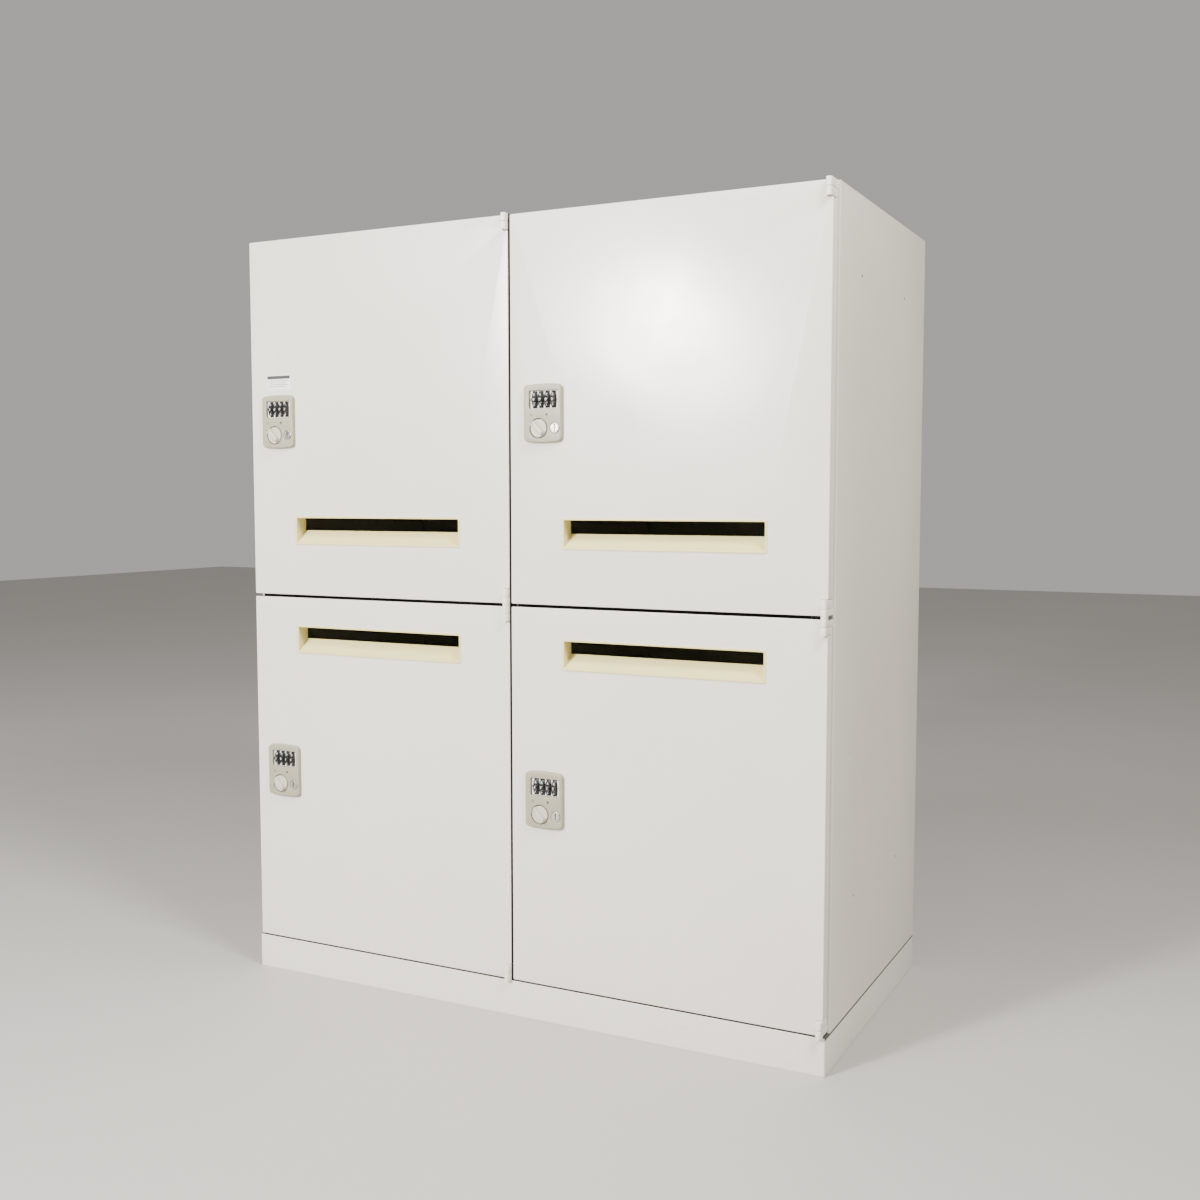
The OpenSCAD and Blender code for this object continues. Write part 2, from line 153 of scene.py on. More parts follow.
def inside(points, loop):
    """Which points lie in a loop: those from which a ray crosses its edges an odd number of times."""
    a, b = loop[None, :, :], np.roll(loop, -1, axis=0)[None, :, :]
    u, v = points[:, None, 0], points[:, None, 1]
    spans = (a[..., 1] > v) != (b[..., 1] > v)
    rise = np.where(a[..., 1] == b[..., 1], 1.0, b[..., 1] - a[..., 1])
    crossing = a[..., 0] + (v - a[..., 1]) * (b[..., 0] - a[..., 0]) / rise
    return ((spans & (u < crossing)).sum(1) % 2).astype(bool)


def lift(loop, depth, facing):
    """Outline points (u, v) at depth w, put on a face seen from the front as (u, w, v), from
    above as (u, v, w) or from the side as (w, u, v)."""
    u, v = loop[..., 0], loop[..., 1]
    w = np.broadcast_to(np.asarray(depth, float), u.shape)
    order = {"front": (u, w, v), "above": (u, v, w), "side": (w, u, v)}[facing]
    return np.stack(order, axis=-1)


def carried(loop, profile, facing="front"):
    """A profile carried round an outline. Each pair in it is (distance inside it, depth)."""
    return np.stack([lift(inset(loop, d), w, facing) for d, w in profile])


def turned(profile, steps=48, facing="front", centre=(0, 0)):
    """A profile of (radius, depth) pairs turned about an axis."""
    unit = circle(1.0, steps)
    return np.stack([lift(unit * r + np.asarray(centre, float), w, facing) for r, w in profile])


def quarter(start, end, along_depth, steps=5):
    """A quarter ellipse between two (distance, depth) pairs. It leaves along the depth, or
    else along the distance: one coordinate goes with sin t, the other with 1 - cos t."""
    t = np.linspace(0, math.pi / 2, steps)
    quick, slow = np.sin(t), 1 - np.cos(t)
    share = np.stack([slow, quick] if along_depth else [quick, slow], axis=-1)
    pair = np.asarray(start, float) + (np.asarray(end, float) - np.asarray(start, float)) * share
    return [tuple(p) for p in pair.tolist()]


# ---- Closed surfaces ----


class Skin:
    """Patches of closed surfaces, in millimetres, gathered before they are welded."""

    def __init__(self):
        self.points = []
        self.faces = []
        self.total = 0

    def add(self, points, faces):
        self.points.append(np.asarray(points, float))
        self.faces += (np.asarray(faces) + self.total).tolist()
        self.total += len(points)
        return self

    def rings(self, rows, closed=False, drop=()):
        """Quads between each ring of points and the next: (i, j), (i, j+1), (i+1, j+1), (i+1, j)."""
        count, size = rows.shape[:2]
        index = np.arange(count * size).reshape(count, size)
        right = np.roll(index, -1, axis=1)
        quads = np.stack([index, right, np.roll(right, -1, 0), np.roll(index, -1, 0)], axis=-1)
        keep = np.ones((count, size), bool)
        keep[-1] = closed
        for i, j in drop:
            keep[i, j] = False
        return self.add(rows.reshape(-1, 3), quads[keep])

    def flat(self, outline, holes=(), depth=0.0, facing="front"):
        """A flat face inside an outline and outside its holes: a Delaunay triangulation that
        keeps every edge of those loops, less the triangles whose middle is in a hole."""
        loops = [outline, *holes]
        starts = np.cumsum([0] + [len(loop) for loop in loops])
        edges = [
            np.stack([np.arange(a, b), np.roll(np.arange(a, b), -1)], axis=-1)
            for a, b in zip(starts, starts[1:])
        ]
        made = delaunay_2d_cdt(
            np.concatenate(loops).tolist(), np.concatenate(edges).tolist(), [], 1, 1e-7
        )
        points = np.array([tuple(p) for p in made[0]])
        faces = np.array(made[2])
        middle = points[faces].mean(axis=1)
        keep = inside(middle, outline)
        for hole in holes:
            keep &= ~inside(middle, hole)
        return self.add(lift(points, depth, facing), faces[keep])

    def join(self, other, at=(0, 0, 0), scale=(1, 1, 1)):
        """Another skin's patches, scaled or mirrored and then moved."""
        points = np.concatenate(other.points) * np.asarray(scale, float) + np.asarray(at, float)
        self.faces += [[k + self.total for k in face] for face in other.faces]
        self.points.append(points)
        self.total += len(points)
        return self


def plate(loop, front, back, holes=(), edge=0.3, facing="front"):
    """A flat plate with slightly rounded edges, and holes that go through it."""
    made = Skin()
    profile = quarter((edge, front), (0, front + edge), False, 4)
    profile += quarter((0, back - edge), (edge, back), True, 4)
    made.rings(carried(loop, profile, facing))
    for hole in holes:
        made.rings(np.stack([lift(hole, front, facing), lift(hole, back, facing)]))
    face = inset(loop, edge)
    made.flat(face, holes, front, facing)
    made.flat(face, holes, back, facing)
    return made


def finish_mesh(obj, crease):
    """Smooth shading that stays sharp along edges steeper than the crease angle."""
    mesh = obj.data
    mesh.polygons.foreach_set("use_smooth", np.ones(len(mesh.polygons), bool))
    mesh.set_sharp_from_angle(angle=math.radians(crease))
    mesh.update()


def place(obj, body, material, stands_for=()):
    """Gives a piece its material, its body and the CAD nodes that it stands for."""
    for m in material if isinstance(material, (list, tuple)) else [material]:
        obj.data.materials.append(m)
    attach(obj, body)
    if stands_for:
        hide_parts(*stands_for)
    return obj


def make(name, skin, body, material, stands_for=(), crease=32):
    """Welds a skin's patches into closed meshes with their faces outwards."""
    mesh = bpy.data.meshes.new(name)
    mesh.from_pydata((np.concatenate(skin.points) * MM).tolist(), [], skin.faces)
    bm = bmesh.new()
    bm.from_mesh(mesh)
    bmesh.ops.remove_doubles(bm, verts=bm.verts, dist=WELD * MM)
    bmesh.ops.recalc_face_normals(bm, faces=bm.faces)
    bm.to_mesh(mesh)
    bm.free()
    obj = bpy.data.objects.new(name, mesh)
    bpy.context.scene.collection.objects.link(obj)
    finish_mesh(obj, crease)
    return place(obj, body, material, stands_for)


def eased_copy(name, node, body, material, width=0.35, segments=2, angle=35):
    """A CAD node's own shape with its edges eased: its loose triangles are merged, flat faces
    are joined again, and a bevel rounds the edges between them."""
    mesh = frame["nodes"][node].data.copy()
    mesh.name = name
    mesh.materials.clear()
    bm = bmesh.new()
    bm.from_mesh(mesh)
    bmesh.ops.remove_doubles(bm, verts=bm.verts, dist=WELD * MM)
    bmesh.ops.dissolve_limit(bm, angle_limit=math.radians(1), verts=bm.verts, edges=bm.edges)
    bm.to_mesh(mesh)
    bm.free()
    obj = bpy.data.objects.new(name, mesh)
    bpy.context.scene.collection.objects.link(obj)
    mesh.polygons.foreach_set("use_smooth", np.ones(len(mesh.polygons), bool))
    bevel = obj.modifiers.new("eased_edges", "BEVEL")
    bevel.width = width * MM
    bevel.segments = segments
    bevel.limit_method = "ANGLE"
    bevel.angle_limit = math.radians(angle)
    bevel.harden_normals = True
    return place(obj, body, material, [node])


# ---- Materials ----


class Shader:
    """A node material under construction, read in Object coordinates."""

    def __init__(self, name, colour, roughness, metallic=0.0, coat=0.0, specular=0.5):
        self.material = bpy.data.materials.new(name)
        self.material.use_nodes = True
        self.tree = self.material.node_tree
        self.tree.nodes.clear()
        self.out = self.tree.nodes.new("ShaderNodeOutputMaterial")
        self.bsdf = self.tree.nodes.new("ShaderNodeBsdfPrincipled")
        self.link(self.bsdf.outputs["BSDF"], self.out.inputs["Surface"])
        self.bsdf.inputs["Base Color"].default_value = (*colour, 1.0)
        self.bsdf.inputs["Roughness"].default_value = roughness
        self.bsdf.inputs["Metallic"].default_value = metallic
        self.bsdf.inputs["Coat Weight"].default_value = coat
        self.bsdf.inputs["Specular IOR Level"].default_value = specular
        self.where = self.tree.nodes.new("ShaderNodeTexCoord").outputs["Object"]
        self.colour = colour

    def link(self, a, b):
        self.tree.links.new(a, b)

    def noise(self, scale, detail=2.0, rough=0.5, stretch=(1, 1, 1)):
        """Noise with features about one over scale metres across, stretched along an axis."""
        mapping = self.tree.nodes.new("ShaderNodeMapping")
        mapping.inputs["Scale"].default_value = stretch
        self.link(self.where, mapping.inputs["Vector"])
        node = self.tree.nodes.new("ShaderNodeTexNoise")
        node.inputs["Scale"].default_value = scale
        node.inputs["Detail"].default_value = detail
        node.inputs["Roughness"].default_value = rough
        self.link(mapping.outputs["Vector"], node.inputs["Vector"])
        return node.outputs["Fac"]

    def spread(self, value, low, high, to_low, to_high):
        """A value's range spread onto another, and held at its ends."""
        node = self.tree.nodes.new("ShaderNodeMapRange")
        for name, number in zip(
            ("From Min", "From Max", "To Min", "To Max"), (low, high, to_low, to_high)
        ):
            node.inputs[name].default_value = number
        self.link(value, node.inputs["Value"])
        return node.outputs["Result"]

    def combine(self, a, b, operation="MULTIPLY"):
        """Two values multiplied, or the larger of them with MAXIMUM."""
        node = self.tree.nodes.new("ShaderNodeMath")
        node.operation = operation
        self.link(a, node.inputs[0])
        self.link(b, node.inputs[1])
        return node.outputs["Value"]

    def place_on(self, axis):
        """A point's place along one axis of the object, in metres."""
        node = self.tree.nodes.new("ShaderNodeSeparateXYZ")
        self.link(self.where, node.inputs["Vector"])
        return node.outputs[axis]

    def near(self, axis, plane, reach):
        """One within a distance of a plane across an axis, fading to nothing just past it."""
        node = self.tree.nodes.new("ShaderNodeMath")
        node.operation = "SUBTRACT"
        self.link(self.place_on(axis), node.inputs[0])
        node.inputs[1].default_value = plane
        away = self.tree.nodes.new("ShaderNodeMath")
        away.operation = "ABSOLUTE"
        self.link(node.outputs["Value"], away.inputs[0])
        return self.spread(away.outputs["Value"], reach, reach + 0.0006, 1.0, 0.0)

    def tint(self, colour, amount):
        """Mixes another colour over what is there so far, by an amount that varies."""
        node = self.tree.nodes.new("ShaderNodeMix")
        node.data_type = "RGBA"
        socket = self.bsdf.inputs["Base Color"]
        if socket.is_linked:
            self.link(socket.links[0].from_socket, node.inputs["A"])
        else:
            node.inputs["A"].default_value = (*self.colour, 1.0)
        node.inputs["B"].default_value = (*colour, 1.0)
        self.link(amount, node.inputs["Factor"])
        self.link(node.outputs["Result"], socket)

    def sheen_varies(self, value):
        self.link(value, self.bsdf.inputs["Roughness"])

    def bump(self, value, strength, distance):
        """Raises the surface by a value. Bumps chain, so coarse and fine ones add up."""
        node = self.tree.nodes.new("ShaderNodeBump")
        node.inputs["Strength"].default_value = strength
        node.inputs["Distance"].default_value = distance
        self.link(value, node.inputs["Height"])
        socket = self.bsdf.inputs["Normal"]
        if socket.is_linked:
            self.link(socket.links[0].from_socket, node.inputs["Normal"])
        self.link(node.outputs["Normal"], socket)


def shade(colour, factor):
    return tuple(c * factor for c in colour)


def powder_coat(name, colour, roughness, scuffed=False, seam_shade=False):
    """Baked powder coat: a faint orange peel about a millimetre across over slow waves, with
    slight changes of tone and gloss. Scuffed paint is dulled and darkened near the floor. Seam
    paint carries painted shade: near black from just behind the faces where the doors meet each
    other and the base, where the narrow gaps would be in shade."""
    s = Shader(name, colour, roughness)
    s.tint(shade(colour, 0.955), s.spread(s.noise(2.6, 3.0), 0.42, 0.70, 0.0, 1.0))
    s.tint((0.80, 0.755, 0.65), s.spread(s.noise(5.5, 4.0, 0.6), 0.56, 0.80, 0.0, 0.30))
    s.sheen_varies(s.spread(s.noise(7.0, 4.0), 0.3, 0.7, roughness - 0.045, roughness + 0.045))
    s.bump(s.noise(28.0, 1.0), 0.10, 0.0006)
    s.bump(s.noise(820.0, 2.0), 0.16, 0.00010)
    if scuffed:
        low = s.spread(s.place_on("Z"), 0.002, 0.048, 1.0, 0.15)
        patches = s.spread(s.noise(6.0, 2.0), 0.50, 0.66, 0.0, 1.0)
        marks = s.spread(s.noise(150.0, 4.0, 0.7, (0.35, 0.35, 4.0)), 0.57, 0.68, 0.0, 0.75)
        s.tint((0.36, 0.33, 0.28), s.combine(s.combine(low, patches), marks))
        # Darker in the lowest 3 mm, next to the floor.
        s.tint((0.42, 0.39, 0.34), s.spread(s.place_on("Z"), 0.0, 0.003, 0.5, 0.0))
    if seam_shade:
        # Painted shade: the paint turns near black from just behind the door faces where the doors meet each other
        # and the base, and along the base's top edge behind them. It stands in for the shade in those narrow gaps,
        # and it stays on those edges when a door opens.
        behind = s.spread(s.place_on("Y"), DOOR_FACE + 0.0003, DOOR_FACE + 0.0012, 0.0, 0.95)
        between = s.combine(s.near("X", 0.0, 0.0020), s.near("Z", ROW_LINE, 0.0024), "MAXIMUM")
        seams = s.combine(between, s.near("Z", BASE_TOP, 0.0024), "MAXIMUM")
        s.tint((0.030, 0.029, 0.026), s.combine(behind, seams))
    return s.material


def moulded(name, colour, roughness, grain=1400.0, grain_depth=0.00004, grime=0.35):
    """Moulded plastic: a fine spark-eroded grain, a little yellowing and handling marks."""
    s = Shader(name, colour, roughness, specular=0.45)
    s.tint(shade(colour, 0.90), s.spread(s.noise(34.0, 4.0, 0.6), 0.45, 0.75, 0.0, grime))
    s.sheen_varies(s.spread(s.noise(60.0, 3.0), 0.3, 0.7, roughness - 0.06, roughness + 0.06))
    s.bump(s.noise(grain, 2.0, 0.6), 0.35, grain_depth)
    s.bsdf.inputs["Subsurface Weight"].default_value = 0.06
    s.bsdf.inputs["Subsurface Radius"].default_value = (0.004, 0.003, 0.002)
    s.bsdf.inputs["Subsurface Scale"].default_value = 0.5
    return s.material


def plated(name, colour, roughness, brushed=(1, 1, 1)):
    """Plated steel: fine scratches along one way, cloudy gloss and a passivated tint."""
    s = Shader(name, colour, roughness, metallic=1.0)
    s.tint(shade(colour, 0.80), s.spread(s.noise(90.0, 4.0), 0.40, 0.75, 0.0, 0.7))
    s.tint((0.60, 0.56, 0.44), s.spread(s.noise(45.0, 2.0), 0.50, 0.75, 0.0, 0.35))
    s.sheen_varies(s.spread(s.noise(420.0, 3.0, 0.5, brushed), 0.3, 0.7, roughness - 0.1, roughness + 0.1))
    s.bump(s.noise(900.0, 2.0, 0.5, brushed), 0.25, 0.00003)
    return s.material


def printed(name, colour, roughness=0.5):
    """Printed ink, slightly worn: fine flecks let a paler tone through."""
    s = Shader(name, colour, roughness)
    s.tint(tuple(0.75 * c + 0.12 for c in colour), s.spread(s.noise(900.0, 3.0), 0.58, 0.75, 0.0, 0.6))
    s.bump(s.noise(1500.0), 0.2, 0.00002)
    return s.material


DOOR_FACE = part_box("upper_left_door_panel")[0][1]
ROW_LINE = (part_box("upper_left_door_panel")[0][2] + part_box("lower_left_door_panel")[1][2]) / 2
BASE_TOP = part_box("base_frame")[1][2]

DOOR_PAINT = powder_coat("door_powder_coat", (0.775, 0.745, 0.680), 0.235, seam_shade=True)
BODY_PAINT = powder_coat("body_powder_coat", (0.735, 0.695, 0.600), 0.30)
BASE_PAINT = powder_coat("base_powder_coat", (0.755, 0.725, 0.660), 0.32, scuffed=True, seam_shade=True)
HINGE_PAINT = powder_coat("hinge_powder_coat", (0.84, 0.815, 0.745), 0.25, seam_shade=True)
SLOT_PLASTIC = moulded("slot_cream_plastic", (0.770, 0.690, 0.330), 0.42)
LOCK_PLASTIC = moulded("lock_grey_plastic", (0.340, 0.322, 0.240), 0.46)
KNOB_PLASTIC = moulded("knob_grey_plastic", (0.540, 0.518, 0.430), 0.40)
MASK_PLASTIC = moulded("mask_white_plastic", (0.800, 0.800, 0.775), 0.40, grime=0.1)
DIAL_PLASTIC = moulded("dial_black_plastic", (0.012, 0.012, 0.012), 0.34, grime=0.0)
KEY_METAL = plated("key_nickel", (0.72, 0.70, 0.66), 0.30)
ZINC = plated("zinc_plate", (0.66, 0.66, 0.65), 0.34, (1, 1, 6))
RUBBER = moulded("bumper_rubber", (0.030, 0.030, 0.030), 0.75, grime=0.3)
WHITE_INK = printed("digit_ink", (0.80, 0.80, 0.78))
BLACK_INK = printed("mark_ink", (0.045, 0.045, 0.045))
CARD = printed("card_stock", (0.92, 0.92, 0.91), 0.35)


# ---- Cabinet ----


def side_panel():
    """The right side panel: a C section carried straight up. Its outer and inner flat faces
    are cut for the four ganging holes, so those two strips of the section are left open and
    filled by flat faces with holes."""
    (x0, y0, z0), (x1, y1, z1) = span("right_side_panel")
    rear_flange, edge, steps = 15.0, 0.3, 6
    flange_x = x1 - rear_flange
    corners = [
        (x0, y0), (x1, y0), (x1, y1), (flange_x, y1),
        (flange_x, y1 - SHEET), (x1 - SHEET, y1 - SHEET), (x1 - SHEET, y0 + SHEET), (x0, y0 + SHEET),
    ]
    inner_r = FOLD_R - SHEET
    radii = [edge, FOLD_R, FOLD_R, edge, edge, inner_r, inner_r, edge]
    section = rounded(corners, radii, steps)
    heights = [(edge, z0), (0.0, z0 + edge), (0.0, z1 - edge), (edge, z1)]
    outer_strip = 2 * steps - 1
    inner_strip = 6 * steps - 1
    made = Skin()
    made.rings(carried(section, heights, "above"), drop=[(1, outer_strip), (1, inner_strip)])
    made.flat(inset(section, edge), (), z0, "above")
    made.flat(inset(section, edge), (), z1, "above")
    mounts = {m["name"]: m for m in frame["record"]["mounts"]}
    gang = mounts["gang_right"]
    _, y, z = np.array(gang["pos_m"]) / MM
    dims = gang["dims"]
    half_y, half_z = dims["spacing_x_mm"] / 2, dims["spacing_y_mm"] / 2
    holes = [
        circle(dims["hole_r_mm"], HOLE_STEPS, (y + sy * half_y, z + sz * half_z))
        for sy in (-1, 1)
        for sz in (-1, 1)
    ]
    front, rear, bottom, top = y0 + FOLD_R, y1 - FOLD_R, z0 + edge, z1 - edge
    strip = np.array([(front, bottom), (rear, bottom), (rear, top), (front, top)])
    for x in (x1, x1 - SHEET):
        made.flat(strip, holes, x, "side")
    for hole in holes:
        made.rings(np.stack([lift(hole, x1, "side"), lift(hole, x1 - SHEET, "side")]))
    return made


def base_ring():
    """The base: a wall with a rolled top edge, carried round the footprint, and the flange that
    points in from it, cut for the four feet's stems."""
    (x0, y0, z0), (x1, y1, z1) = span("base_frame")
    wall, flange, bend, edge = 2.0, 30.0, 1.1, 0.25
    corner_r, rim_r, stem_hole_r, pad_r = 2.6, 1.0, 4.1, 14.0
    loop = rectangle(x0, x1, y0, y1, corner_r, arc=5)
    rim = rectangle(x0 + flange, x1 - flange, y0 + flange, y1 - flange, rim_r, arc=3)
    feet_low, feet_high = span("levelling_feet")
    stems = [
        circle(stem_hole_r, HOLE_STEPS, (x, y))
        for x in (feet_low[0] + pad_r, feet_high[0] - pad_r)
        for y in (feet_low[1] + pad_r, feet_high[1] - pad_r)
    ]
    outside = [(wall, z0), (edge, z0), (0.0, z0 + edge)]
    outside += quarter((0.0, z1 - bend), (bend, z1), True)
    made = Skin().rings(carried(loop, outside, "above"))
    made.rings(carried(loop, [(wall, z1 - wall), (wall, z0)], "above"))
    made.flat(inset(loop, bend), [rim, *stems], z1, "above")
    made.flat(inset(loop, wall), [rim, *stems], z1 - wall, "above")
    for hole in [rim, *stems]:
        made.rings(np.stack([lift(hole, z1, "above"), lift(hole, z1 - wall, "above")]))
    return made


def cabinet():
    """The fixed body: two folded side panels, a base ring, the eased sheets between them, and
    the hinge pins, levelling feet and rubber bumpers."""
    side = side_panel()
    make("right_side_skin", side, "cabinet", BODY_PAINT, ["right_side_panel"])
    left = Skin().join(side, scale=(-1, 1, 1))
    make("left_side_skin", left, "cabinet", BODY_PAINT, ["left_side_panel"])
    make("base_ring", base_ring(), "cabinet", BASE_PAINT, ["base_frame"])
    for node in ("top_panel", "floor_panel", "back_panel", "centre_partition", "mid_shelves"):
        eased_copy(node + "_sheet", node, "cabinet", BODY_PAINT)
    eased_copy("pins", "hinge_pins", "cabinet", ZINC, width=0.5)
    eased_copy("feet", "levelling_feet", "cabinet", ZINC, width=0.6)
    eased_copy("bumpers", "door_bumpers", "cabinet", RUBBER, width=0.5, segments=3)


# ---- Hinges ----


def knuckle_section(tail):
    """A rolled hinge strip seen from above, about its pin: an arc of the knuckle's radius that
    leaves the strip's outer face and comes back to its inner face, and then the strip's tail."""
    end = -math.pi * 2 + math.acos((KNUCKLE_R - STRIP_T) / KNUCKLE_R)
    a = np.linspace(0.0, end, 40)
    roll = np.stack([KNUCKLE_R * np.cos(a), KNUCKLE_R * np.sin(a)], axis=-1)
    return np.concatenate([roll, tail])


def knuckle(section, z0, z1, bore_r):
    """A hinge section with eased ends and a bore for its pin, carried straight up."""
    edge = 0.35
    bore = circle(bore_r, 48)
    made = Skin()
    heights = quarter((edge, z0), (0.0, z0 + edge), False, 4)
    heights += quarter((0.0, z1 - edge), (edge, z1), True, 4)
    made.rings(carried(section, heights, "above"))
    made.flat(inset(section, edge), [bore], z0, "above")
    made.flat(inset(section, edge), [bore], z1, "above")
    made.rings(np.stack([lift(bore, z0, "above"), lift(bore, z1, "above")]))
    return made


def hinges():
    """The fixed knuckles wrap back to a foot on the cabinet's front; the door's have a block
    that fills the door's corner. Both stand at a door's lower hinge and, mirrored, at its upper."""
    foot_front, foot_rear, foot_reach, block_rear = 21.4, 23.0, 22.0, 21.0
    foot = knuckle_section(np.array([
        (KNUCKLE_R - STRIP_T, foot_front), (-foot_reach, foot_front),
        (-foot_reach, foot_rear), (KNUCKLE_R, foot_rear),
    ]))
    half_round = circle(KNUCKLE_R, 64)[:33] * (1, -1)
    block = np.concatenate([half_round, [(-KNUCKLE_R, block_rear), (KNUCKLE_R, block_rear)]])
    leaf_start = BRACKET_H + LEAF_GAP
    bracket = knuckle(foot, BRACKET_SEAM, BRACKET_H, PIN_R)
    leaf = knuckle(block, leaf_start, leaf_start + LEAF_H, PIN_R + LEAF_PLAY)
    fixed = Skin()
    for door in DOORS:
        axis = JOINT_AT[door + "_door_hinge"]
        panel_low, panel_high = span(door + "_door_panel")
        z_low, z_high = panel_low[2] - HINGE_OVERHANG, panel_high[2] + HINGE_OVERHANG
        fixed.join(bracket, (axis[0], axis[1], z_low))
        fixed.join(bracket, (axis[0], axis[1], z_high), (1, 1, -1))
        leaves = Skin()
        leaves.join(leaf, (axis[0], axis[1], z_low))
        leaves.join(leaf, (axis[0], axis[1], z_high), (1, 1, -1))
        make(door + "_knuckles", leaves, door + "_door", HINGE_PAINT,
             [door + "_hinge_leaves"])
    make("fixed_knuckles", fixed, "cabinet", HINGE_PAINT, ["hinge_brackets"])


# ---- Doors ----


def door_outline(door, margin=0.0):
    """A door's outline seen from the front, with its two right-hand corners cut for the hinges."""
    (x0, _, z0), (x1, _, z1) = span(door + "_door_panel")
    notch_w, notch_h = 8.2, 20.2
    corners = [
        (x0, z0), (x1 - notch_w, z0), (x1 - notch_w, z0 + notch_h), (x1, z0 + notch_h),
        (x1, z1 - notch_h), (x1 - notch_w, z1 - notch_h), (x1 - notch_w, z1), (x0, z1),
    ]
    r, tight = DOOR_CORNER_R, 0.6
    return inset(rounded(corners, [r, r, tight, r, r, tight, r, r]), margin)


def door_cutouts(door):
    """The openings in a door for its letter slot and its lock."""
    (x0, _, z0), (x1, _, z1) = span(door + "_slot_frame")
    in_flange = 1.5
    slot = rectangle(x0 + in_flange, x1 - in_flange, z0 + in_flange, z1 - in_flange, 1.5)
    x, z = lock_middle(door)
    half_w, half_h = CASE_W / 2 + CASE_PLAY, CASE_H / 2 + CASE_PLAY
    lock = rectangle(x - half_w, x + half_w, z - half_h, z + half_h, CASE_CORNER_R)
    return [slot, lock]


def lock_middle(door):
    """The middle of a lock's face plate."""
    low, high = span(door + "_lock_body")
    return (low[0] + high[0]) / 2, (low[2] + high[2]) / 2


def door_pan(door):
    """A door's folded pan. Its profile runs from the face over a rolled edge, back along the
    side, round the sheet's edge and forward again inside; both faces are cut for the openings."""
    low, high = span(door + "_door_panel")
    face, rear = low[1], high[1]
    loop = door_outline(door)
    r, inner = DOOR_EDGE_R, DOOR_EDGE_R - SHEET
    profile = quarter((r, face), (0.0, face + r), False, 7)
    profile += [(0.0, rear), (SHEET, rear)]
    profile += quarter((SHEET, face + SHEET + inner), (r, face + SHEET), True, 5)
    made = Skin().rings(carried(loop, profile))
    holes = door_cutouts(door)
    flat_part = inset(loop, r)
    made.flat(flat_part, holes, face)
    made.flat(flat_part, holes, face + SHEET)
    for hole in holes:
        made.rings(np.stack([lift(hole, face, "front"), lift(hole, face + SHEET, "front")]))
    return made


def slot_moulding(door):
    """The letter slot: rounded rectangles lofted from the flange's rim into the recess and back
    outside it. The recess's lower edge climbs with the depth, so it makes the sloping sill."""
    (x0, y0, z0), (x1, y1, z1) = span(door + "_slot_frame")
    rim, flange_t, wall, rise, sill_t = 3.0, 1.0, 1.2, 17.5, 1.5
    rim_t, rim_ease, mouth_ease = 0.55, 0.45, 0.7
    a0, a1, b0, b1 = x0 + rim, x1 - rim, z0 + rim, z1 - rim
    face = y0 + flange_t
    depth = y1 - face

    def opening(grow, y, lift_sill=0.0, r=1.0):
        loop = rectangle(a0 - grow, a1 + grow, b0 - grow + lift_sill, b1 + grow, r, 4)
        return lift(loop, y, "front")

    rows = [opening(rim, face, r=2.4), opening(rim, face - rim_t, r=2.4)]
    over_rim = quarter((0.0, face - rim_t), (rim_ease, y0), True, 4)[1:]
    rows += [opening(rim - d, w, r=2.2) for d, w in over_rim]
    into_mouth = quarter((mouth_ease, y0), (0.0, y0 + mouth_ease), False, 5)
    rows += [opening(d, w, r=1.2) for d, w in into_mouth]
    for share in np.linspace(0.02, 1.0, 8):
        rows.append(opening(0.0, face + depth * share, rise * share))
    rows.append(opening(wall, y1, rise - sill_t + wall))
    for share in np.linspace(0.98, 0.09, 7):
        rows.append(opening(wall, face + depth * share, max(0.0, rise * share - sill_t + wall)))
    rows.append(opening(wall, face, 0.0))
    return Skin().rings(np.stack(rows), closed=True)


def name_card(door):
    """A blank name card above the lock: a thin rounded card, a dark heading bar and four
    ruled lines to write on."""
    x, z = lock_middle(door)
    face = span(door + "_door_panel")[0][1]
    middle, half_w, half_h, stock = (x - 0.5, z + 58.0), 22.0, 10.5, 0.25
    ink_front, ink_back = 0.32, 0.26
    margin, bar_h, first_line, line_pitch, half_line = 0.8, 4.8, 8.0, 2.9, 0.35
    line_margin, short_by = 3, 5

    def slip(u0, u1, v0, v1, front, back, r):
        loop = rectangle(middle[0] + u0, middle[0] + u1, middle[1] + v0, middle[1] + v1, r, 4)
        return plate(loop, face - front, face - back, edge=0.02)

    card = slip(-half_w, half_w, -half_h, half_h, stock, 0.0, 1.2)
    make(door + "_card", card, door + "_door", CARD)
    u, v = half_w - margin, half_h - margin
    print_on = Skin().join(slip(-u, u, v - bar_h, v, ink_front, ink_back, 0.6))
    for row in range(4):
        v = half_h - first_line - line_pitch * row
        end = half_w - line_margin - short_by * (row % 2)
        line = slip(line_margin - half_w, end, v - half_line, v + half_line, ink_front, ink_back, 0.1)
        print_on.join(line)
    make(door + "_card_print", print_on, door + "_door", BLACK_INK)


def door_set(door):
    """A door's own sheet metal and its letter slot."""
    body = door + "_door"
    make(door + "_door_skin", door_pan(door), body, DOOR_PAINT, [door + "_door_panel"])
    low, high = span(door + "_door_liner")
    liner_play = 0.2
    loop = door_outline(door, margin=SHEET + liner_play)
    liner = plate(loop, low[1], high[1], door_cutouts(door))
    make(door + "_liner_sheet", liner, body, DOOR_PAINT, [door + "_door_liner"])
    make(door + "_slot_moulding", slot_moulding(door), body, SLOT_PLASTIC,
         [door + "_slot_frame"])


# ---- Locks, drawn from the middle of the face plate, with the door's face at depth 0 ----

